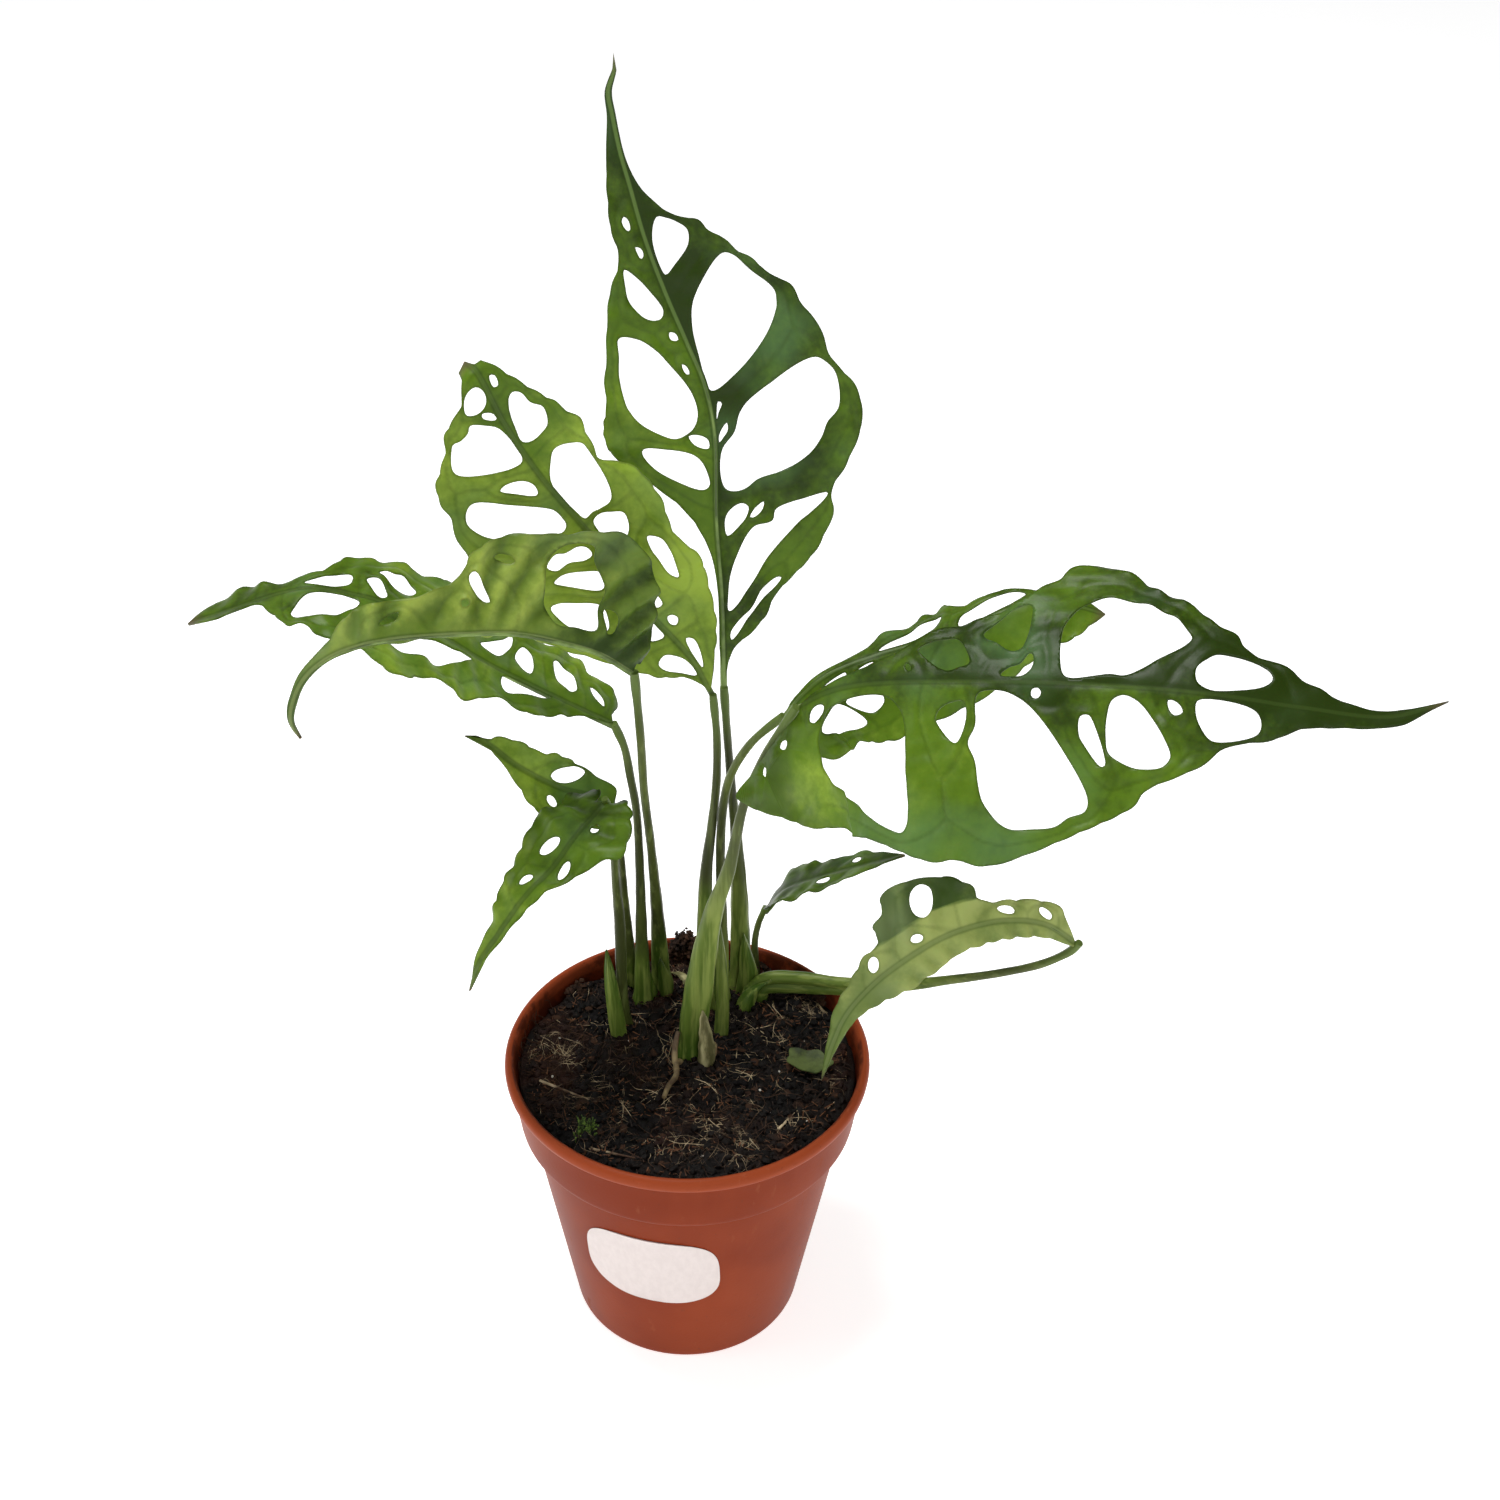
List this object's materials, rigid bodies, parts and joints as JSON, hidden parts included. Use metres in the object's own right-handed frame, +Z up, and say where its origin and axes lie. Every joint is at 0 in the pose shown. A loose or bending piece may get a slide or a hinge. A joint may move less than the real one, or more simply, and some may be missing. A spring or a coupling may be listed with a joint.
{
  "type": "potted monstera obliqua",
  "caption": "Young climbing aroid with perforated leaves on slender petioles, standing in moist peat in a round tapered nursery pot.",
  "frame": {"origin": "centre of the flat underside of the pot, which rests on the ground", "axes": "+Z up along the pot's axis; -Y towards the front, where the label is; +X to the right as seen from the front, where the largest leaf points"},
  "size_m": [0.3412, 0.1267, 0.4112],
  "materials": {
    "terracotta_plastic": "satin moulded plastic in terracotta colour",
    "peat": "loose dark peat with fibres",
    "label_paper": "smooth blank adhesive label",
    "leaf": "smooth, slightly glossy leaf",
    "petiole": "smooth green to olive brown stem",
    "bark": "rough dry brown root and cut stem"
  },
  "bodies": {
    "root": {"pot": "terracotta_plastic", "pot_label": "label_paper", "soil": "peat", "soil_leaf_scrap": "leaf", "aerial_root": "bark", "cut_stub": "bark", "leaf_a_blade": "leaf", "leaf_b_blade": "leaf", "leaf_c_blade": "leaf", "leaf_d_blade": "leaf", "leaf_e_blade": "leaf", "leaf_f_blade": "leaf", "leaf_g_blade": "leaf", "leaf_h_blade": "leaf", "leaf_i_blade": "leaf", "leaf_j_blade": "leaf", "leaf_a_petiole": "petiole", "leaf_b_petiole": "petiole", "leaf_c_petiole": "petiole", "leaf_d_petiole": "petiole", "leaf_e_petiole": "petiole", "leaf_f_petiole": "petiole", "leaf_g_petiole": "petiole", "leaf_h_petiole": "petiole", "leaf_i_petiole": "petiole", "leaf_j_petiole": "petiole"}
  },
  "joints": []
}
